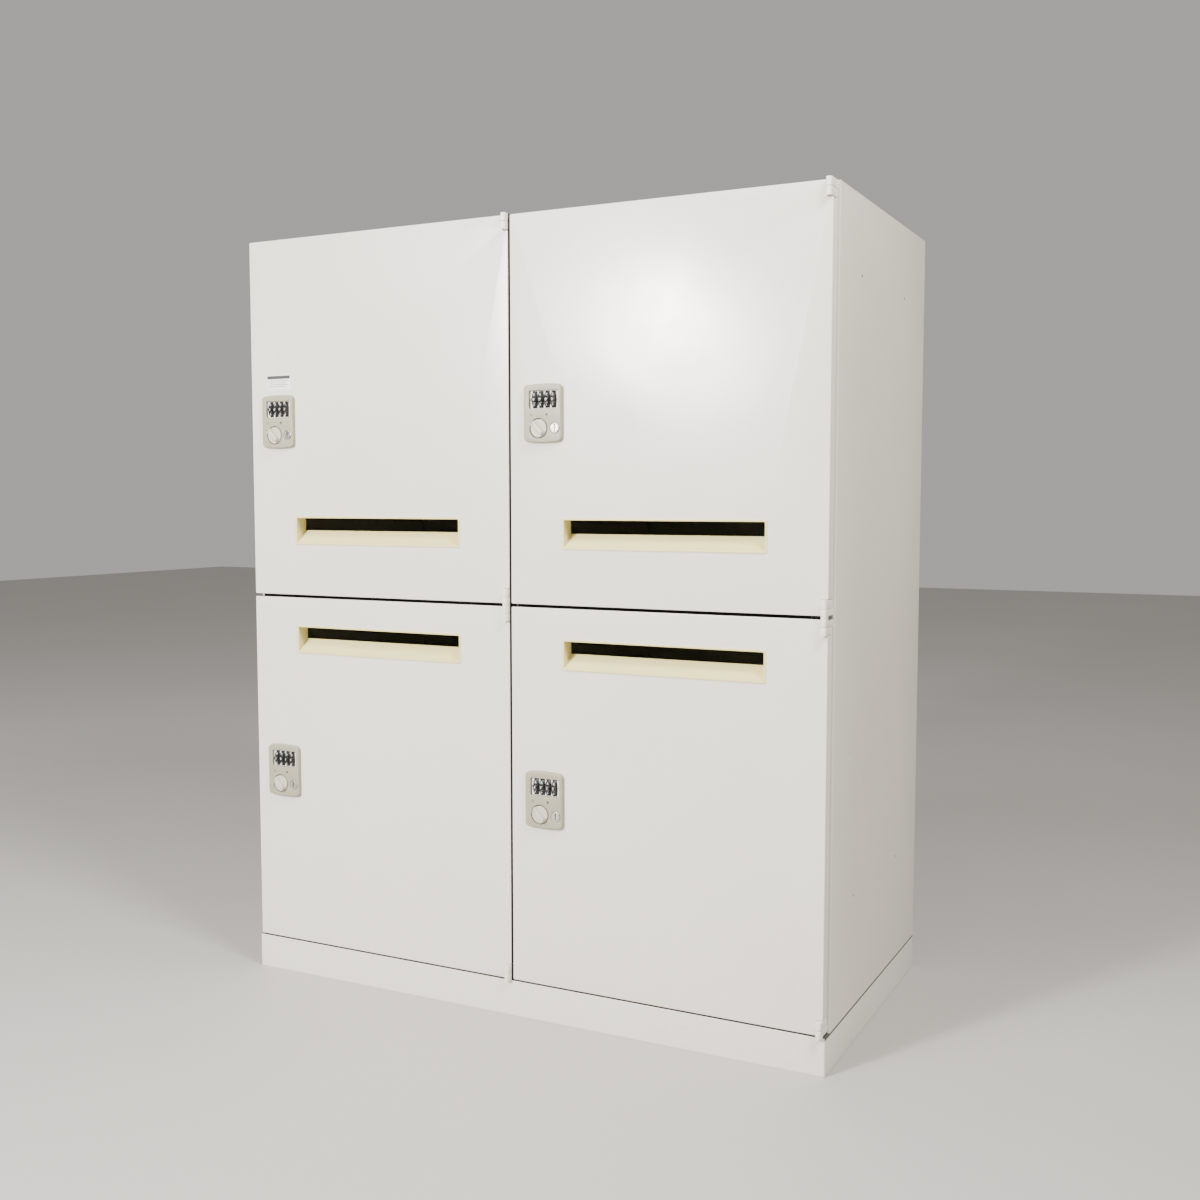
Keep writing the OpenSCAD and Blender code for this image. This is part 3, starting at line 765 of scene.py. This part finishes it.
PLATE_W, PLATE_H, PLATE_T, PLATE_CROWN = 58.0, 79.0, 6.0, 2.0
CASE_W, CASE_H, CASE_BACK, CASE_CORNER_R, CASE_PLAY = 52.0, 70.0, 19.0, 2.0, 0.5
DIAL_MIDDLE, DIAL_PITCH, DIAL_W, DIAL_R, DIAL_Z = 2.2, 9.4, 6.2, 11.6, 18.0
GROOVE_DEPTH, WHEEL_EASE = 1.0, 0.7
AXLE_R, AXLE_PLAY, AXLE_DEPTH, AXLE_PAST_WHEEL, AXLE_EASE = 2.0, 0.06, 3.0, 1.0, 0.4
WINDOW_FLOOR, MASK_FRONT, WELL_FLOOR = -2.5, -2.72, -2.0
KEY_FRONT, KEY_BACK = -6.8, 14.0
SHAFT_R, CAM_FRONT, STUD_R, STUD_BACK = 5.0, 21.3, 3.0, 26.5
KNOB_AT = (-5.5, -20.0)
KEY_AT = (19.0, -20.0)


def dial_at(i):
    """How far a wheel's middle is to the right of the plate's middle."""
    return DIAL_MIDDLE + (i - (len(DIALS) + 1) / 2) * DIAL_PITCH


def plate_loop():
    """The face plate: a rounded rectangle whose upper and lower edges bow out, each point by
    the crown times one minus the square of its share of the half width."""
    half_h = PLATE_H / 2 - PLATE_CROWN
    loop = rectangle(-PLATE_W / 2, PLATE_W / 2, -half_h, half_h, 5.5, arc=8, edge=9)
    share = loop[:, 0] / (PLATE_W / 2)
    bow = PLATE_CROWN * (1 - share**2) * np.clip(loop[:, 1] / half_h, -1, 1)
    return loop + np.stack([np.zeros(len(loop)), bow], axis=-1)


def dial_window():
    """The window in front of the wheels, and the slot that each wheel stands out through."""
    left, right, half_window = -20.0, 24.0, 12
    half_w, half_h = 3.5, 11.2
    window = rectangle(left, right, DIAL_Z - half_window, DIAL_Z + half_window, 2.0, arc=6)
    slots = [
        rectangle(dial_at(i) - half_w, dial_at(i) + half_w, DIAL_Z - half_h, DIAL_Z + half_h, 0.8, 4)
        for i in DIALS
    ]
    return window, slots


def lock_case():
    """The face plate and the case behind it, as one closed surface. The plate's face is cut for
    the window, the knob's well and the key; each cut is a profile carried back from its edge.
    The knob's bearing goes right through the case."""
    made = Skin()
    loop = plate_loop()
    front = -PLATE_T
    draft, roll, well_r, key_r = 0.45, 2.4, 13.5, 7.3
    edge = [(0.0, 0.0), (draft, front + 2.4)] + quarter((draft, front + 2.2), (roll, front), True, 7)
    made.rings(carried(loop, edge))
    window, slots = dial_window()
    well = circle(well_r, 72, KNOB_AT)
    key = circle(key_r, 48, KEY_AT)
    ease, key_ease = 0.6, 0.4
    cuts = [inset(window, -ease), inset(well, -ease), inset(key, -key_ease)]
    made.flat(inset(loop, roll), cuts, front)

    # The window's floor has a slot for each wheel, over a pocket that the wheel turns in
    over_edge = quarter((-ease, front), (0.0, front + ease), False)
    made.rings(carried(window, over_edge + [(0.0, WINDOW_FLOOR)]))
    made.flat(window, slots, WINDOW_FLOOR)
    widen, pocket_front, pocket_back = 0.9, -1.3, 15.6
    pocket = [(0.0, WINDOW_FLOOR), (0.0, pocket_front), (-widen, pocket_front), (-widen, pocket_back)]
    for slot in slots:
        made.rings(carried(slot, pocket))
        made.flat(inset(slot, -widen), (), pocket_back)

    # The knob's well and bearing, and the key's counterbore and bore
    bearing_play, key_end = 0.07, KEY_BACK + 0.1
    made.rings(carried(well, over_edge + [(0.0, WELL_FLOOR)]))
    bearing = circle(SHAFT_R + bearing_play, 72, KNOB_AT)
    made.flat(well, [bearing], WELL_FLOOR)
    made.rings(carried(bearing, [(0.0, WELL_FLOOR), (0.0, CASE_BACK)]))
    ledge, narrowing = front + 0.9, 0.1
    into_key = quarter((-key_ease, front), (0.0, front + key_ease), False, 4)
    bore = circle(6.57, 48, KEY_AT)
    made.rings(carried(key, into_key + [(narrowing, ledge)]))
    made.flat(inset(key, narrowing), [bore], ledge)
    made.rings(carried(bore, [(0.0, ledge), (0.0, key_end)]))
    made.flat(bore, (), key_end)

    # The case behind the plate
    case = rectangle(-CASE_W / 2, CASE_W / 2, -CASE_H / 2, CASE_H / 2, CASE_CORNER_R, arc=5)
    round_r = 1.0
    made.flat(loop, [case], 0.0)
    rear_edge = quarter((0.0, CASE_BACK - round_r), (round_r, CASE_BACK), True)
    made.rings(carried(case, [(0.0, 0.0)] + rear_edge))
    made.flat(inset(case, round_r), [bearing], CASE_BACK)
    return made


def dial_mask():
    """A thin white mask on the window's floor, cut out round the four wheels."""
    window, slots = dial_window()
    margin, slot_margin, sunk = 0.35, 0.1, 0.01
    holes = [inset(slot, -slot_margin) for slot in slots]
    return plate(inset(window, margin), MASK_FRONT, WINDOW_FLOOR + sunk, holes, edge=0.05)


def lock_marks():
    """Printed marks: a pointer beside the wheels, ticks between them at reading height, a ring
    for open above the knob's left position, and a disc for locked above its right."""
    made = Skin()

    def mark(loop, surface, holes=()):
        return plate(loop, surface - 0.06, surface - 0.01, holes, edge=0.01)

    tick = rectangle(-0.8, 0.8, -0.3, 0.3, 0.1, 3)
    last_tick = dial_at(DIALS[-1]) + 5.6
    for x in [dial_at(i) + DIAL_PITCH / 2 for i in DIALS[:-1]] + [last_tick]:
        made.join(mark(tick, MASK_FRONT), (x, 0, DIAL_Z))
    arrow_back, arrow_tip, arrow_half = -18.9, -16.2, 1.4
    arrow = [(arrow_back, DIAL_Z - arrow_half), (arrow_tip, DIAL_Z), (arrow_back, DIAL_Z + arrow_half)]
    made.join(mark(rounded(arrow, 0.15, 3), MASK_FRONT))
    mark_r, ring_hole_r, ring_x, disc_x, mark_z = 1.7, 1.15, -16.3, 7.0, -1.9
    made.join(mark(circle(mark_r, 40), -PLATE_T, [circle(ring_hole_r, 40)]), (ring_x, 0, mark_z))
    made.join(mark(circle(mark_r, 40), -PLATE_T), (disc_x, 0, mark_z))
    return made


def knob():
    """The turning knob: a disc with a dished face and its shaft, turned about the knob's axis,
    and a grip bar with rounded edges that runs across it to the upper left. With it, as a
    second piece, comes the pointer line printed on the bar."""
    disc_r, disc_front, disc_back, stud_ease = 12.0, -6.6, -2.2, 0.3
    disc = [(0.0, -6.0), (4.0, -6.05), (8.0, -6.3), (10.4, disc_front)]
    disc += quarter((10.9, disc_front), (disc_r, -5.5), False, 6)
    disc += [(disc_r, -2.6), (11.6, disc_back), (SHAFT_R, disc_back), (SHAFT_R, CAM_FRONT)]
    disc += [(STUD_R, CAM_FRONT), (STUD_R, STUD_BACK - stud_ease), (STUD_R - stud_ease, STUD_BACK)]
    made = Skin().rings(turned(disc + [(0.0, STUD_BACK)], 72))
    aim, foot, crest = math.radians(135), (-0.7, -6.2), (3.4, -12.95)
    bar = capsule(24.0, 8.6, turn=aim, steps=16)
    side = quarter(foot, (0.2, -7.4), False, 5) + [(0.75, -11.2)]
    top = quarter((0.8, -11.4), (2.4, -12.86), True, 7) + [crest]
    made.rings(carried(bar, side + top))
    for distance, depth in (crest, foot):
        made.flat(inset(bar, distance), (), depth)
    line = capsule(6.0, 0.9, turn=aim, steps=6, centre=(-6.6, 6.6))
    pointer = plate(line, -13.0, -12.9, edge=0.01)
    return made, pointer


def key_plug():
    """The key cylinder: a turned plug with an eased face and a shallow ring, cut by a keyway."""
    face_r, ring_r, plug_r, ring_depth, ease, keyway_depth = 5.75, 6.0, 6.5, 0.25, 0.4, 5.0
    keyway = rectangle(-0.9, 0.9, -5.5, 5.5, 0.6, 5)
    made = Skin()
    made.flat(circle(face_r, 48), [keyway], KEY_FRONT)
    made.rings(carried(keyway, [(0.0, KEY_FRONT), (0.0, KEY_FRONT + keyway_depth)]))
    made.flat(keyway, (), KEY_FRONT + keyway_depth)
    ring_floor = KEY_FRONT + ring_depth
    body = [(face_r, KEY_FRONT), (face_r, ring_floor), (ring_r, ring_floor), (ring_r, KEY_FRONT)]
    body += quarter((plug_r - ease, KEY_FRONT), (plug_r, KEY_FRONT + ease), False, 4)
    made.rings(turned(body + [(plug_r, KEY_BACK), (0.0, KEY_BACK)], 48))
    return made


def dial_wheel():
    """A dial wheel, bored for its axle. Its radius dips to a narrow groove between one digit and
    the next, by a depth times (one minus the cosine of ten times the angle, halved) to the sixth."""
    steps = 120
    a = 2 * math.pi * np.arange(steps) / steps
    groove = ((1 - np.cos(10 * a)) / 2) ** 6
    unit = np.stack([np.cos(a), np.sin(a)], axis=-1)
    half = DIAL_W / 2
    edges = quarter((WHEEL_EASE, -half), (0.0, -half + WHEEL_EASE), False, 4)
    edges += quarter((0.0, half - WHEEL_EASE), (WHEEL_EASE, half), True, 4)
    bore = unit * (AXLE_R + AXLE_PLAY)
    rows = [lift(bore, -half, "side")]
    for cut, x in edges:
        rows.append(lift(unit * (DIAL_R - cut - GROOVE_DEPTH * groove)[:, None], x, "side"))
    rows.append(lift(bore, half, "side"))
    return Skin().rings(np.stack(rows), closed=True)


def dial_axle():
    """The bar that carries a lock's four wheels, with eased ends."""
    end = dial_at(DIALS[-1]) - DIAL_MIDDLE + DIAL_W / 2 + AXLE_PAST_WHEEL
    side = quarter((AXLE_R - AXLE_EASE, -end), (AXLE_R, -end + AXLE_EASE), False, 4)
    side += quarter((AXLE_R, end - AXLE_EASE), (AXLE_R - AXLE_EASE, end), True, 4)
    rows = turned([(0.0, -end), *side, (0.0, end)], 48, "side")
    return Skin().rings(rows)


def digit_shapes():
    """The ten digits as thin solids that face the front, each centred on its own middle, in
    millimetres: (points, faces) pairs."""
    shapes = []
    narrowed = 0.9
    for digit in range(10):
        curve = bpy.data.curves.new("digit", "FONT")
        curve.body = str(digit)
        curve.size = 4.6
        curve.extrude = 0.04
        curve.resolution_u = 3
        curve.offset = 0.06
        obj = bpy.data.objects.new("digit", curve)
        bpy.context.scene.collection.objects.link(obj)
        mesh = bpy.data.meshes.new_from_object(obj)
        co = np.zeros(len(mesh.vertices) * 3)
        mesh.vertices.foreach_get("co", co)
        co = co.reshape(-1, 3)
        co -= (co.max(0) + co.min(0)) / 2
        points = np.stack([co[:, 0] * narrowed, -co[:, 2], co[:, 1]], axis=-1)
        shapes.append((points, [list(p.vertices) for p in mesh.polygons]))
        bpy.data.objects.remove(obj)
        bpy.data.curves.remove(curve)
        bpy.data.meshes.remove(mesh)
    return shapes


def wheel_digits(shapes, first):
    """Ten digits round a wheel: each is set out in front of the rim and then turned about the
    axle by a tenth of a turn more than the one before."""
    made = Skin()
    proud = 0.02
    for place_no, (points, faces) in enumerate(shapes[first:] + shapes[:first]):
        turn = 2 * math.pi * place_no / 10
        c, s = math.cos(turn), math.sin(turn)
        out = points + (0.0, -DIAL_R - proud, 0.0)
        y, z = out[:, 1] * c - out[:, 2] * s, out[:, 1] * s + out[:, 2] * c
        digit = Skin()
        digit.points.append(np.stack([out[:, 0], y, z], axis=-1))
        digit.faces = faces
        made.join(digit)
    return made


def lock_set(door, shapes):
    """A door's lock: its case, mask, marks, knob, cam, key plug, axle and four wheels."""
    body = door + "_door"
    x, z = lock_middle(door)
    face = span(door + "_door_panel")[0][1]
    at = (x, face, z)
    make(door + "_lock_case", Skin().join(lock_case(), at), body, LOCK_PLASTIC,
         [door + "_lock_body"])
    make(door + "_dial_mask", Skin().join(dial_mask(), at), body, MASK_PLASTIC)
    make(door + "_lock_marks", Skin().join(lock_marks(), at), body, BLACK_INK)
    knob_at = (x + KNOB_AT[0], face, z + KNOB_AT[1])
    grip, pointer = knob()
    make(door + "_turning_knob", Skin().join(grip, knob_at), door + "_knob",
         KNOB_PLASTIC, [door + "_lock_knob"])
    make(door + "_knob_pointer", Skin().join(pointer, knob_at), door + "_knob", BLACK_INK)
    eased_copy(door + "_cam", door + "_latch_cam", door + "_knob", ZINC, width=0.25)
    axle_at = (x + DIAL_MIDDLE, face + AXLE_DEPTH, z + DIAL_Z)
    make(door + "_dial_axle", Skin().join(dial_axle(), axle_at), body, ZINC)
    key_at = (x + KEY_AT[0], face, z + KEY_AT[1])
    make(door + "_key_plug", Skin().join(key_plug(), key_at), door + "_key", KEY_METAL,
         [door + "_key_cylinder"])
    for i in DIALS:
        wheel = f"{door}_dial_{i}"
        axle = JOINT_AT[wheel + "_spin"]
        make(wheel + "_rim", Skin().join(dial_wheel(), axle), wheel + "_wheel",
             DIAL_PLASTIC, [wheel])
        digits = wheel_digits(shapes, (3 * i + DOORS.index(door)) % 10)
        make(wheel + "_digits", Skin().join(digits, axle), wheel + "_wheel", WHITE_INK)


# ---- Floor, lights and camera ----


def stage_floor():
    """A plain pale floor, whose tone varies very slightly."""
    mesh = bpy.data.meshes.new("floor")
    reach = 9.0
    corners = [(-reach, -reach, 0), (reach, -reach, 0), (reach, reach, 0), (-reach, reach, 0)]
    mesh.from_pydata(corners, [], [(0, 1, 2, 3)])
    floor = bpy.data.objects.new("floor", mesh)
    bpy.context.scene.collection.objects.link(floor)
    s = Shader("floor_surface", (0.47, 0.46, 0.44), 0.62)
    s.tint((0.44, 0.43, 0.41), s.spread(s.noise(1.5, 4.0), 0.4, 0.7, 0.0, 0.5))
    mesh.materials.append(s.material)


def soft_box(name, at, target, size, power, colour=(1.0, 0.97, 0.93)):
    """A square area light that faces a point."""
    light = bpy.data.lights.new(name, "AREA")
    light.shape = "SQUARE"
    light.size = size
    light.energy = power
    light.color = colour
    lamp = bpy.data.objects.new(name, light)
    lamp.location = at
    lamp.rotation_euler = (Vector(target) - Vector(at)).to_track_quat("-Z", "Y").to_euler()
    bpy.context.scene.collection.objects.link(lamp)


def studio():
    """A small key lamp in front, a broad lamp high on the front left, a smaller one on the right
    and an even surround. The key lamp stands where the upper right door mirrors it towards the
    camera."""
    world = bpy.data.worlds.new("surround")
    world.use_nodes = True
    back = world.node_tree.nodes["Background"]
    back.inputs["Color"].default_value = (1.0, 0.975, 0.925, 1.0)
    back.inputs["Strength"].default_value = 0.44
    bpy.context.scene.world = world
    soft_box("key", (-0.735, -2.49, 1.33), (0.249, -0.2185, 0.969), 0.28, 112)
    soft_box("overhead", (-1.6, -3.4, 3.4), (0.0, 0.0, 0.9), 1.9, 150)
    soft_box("right", (1.5, -0.9, 2.3), (0.45, -0.1, 1.0), 0.6, 76)


def camera():
    """The camera, turned about the vertical and pitched a little down."""
    data = bpy.data.cameras.new("camera")
    data.lens = CAMERA_LENS
    data.sensor_width = 36.0
    view = bpy.data.objects.new("camera", data)
    view.location = CAMERA_AT
    view.rotation_euler = (math.pi / 2 - CAMERA_PITCH, 0.0, CAMERA_YAW)
    bpy.context.scene.collection.objects.link(view)
    bpy.context.scene.camera = view


camera()
studio()
stage_floor()
cabinet()
hinges()
digits = digit_shapes()
for door_name in DOORS:
    door_set(door_name)
    lock_set(door_name, digits)
name_card("upper_left")
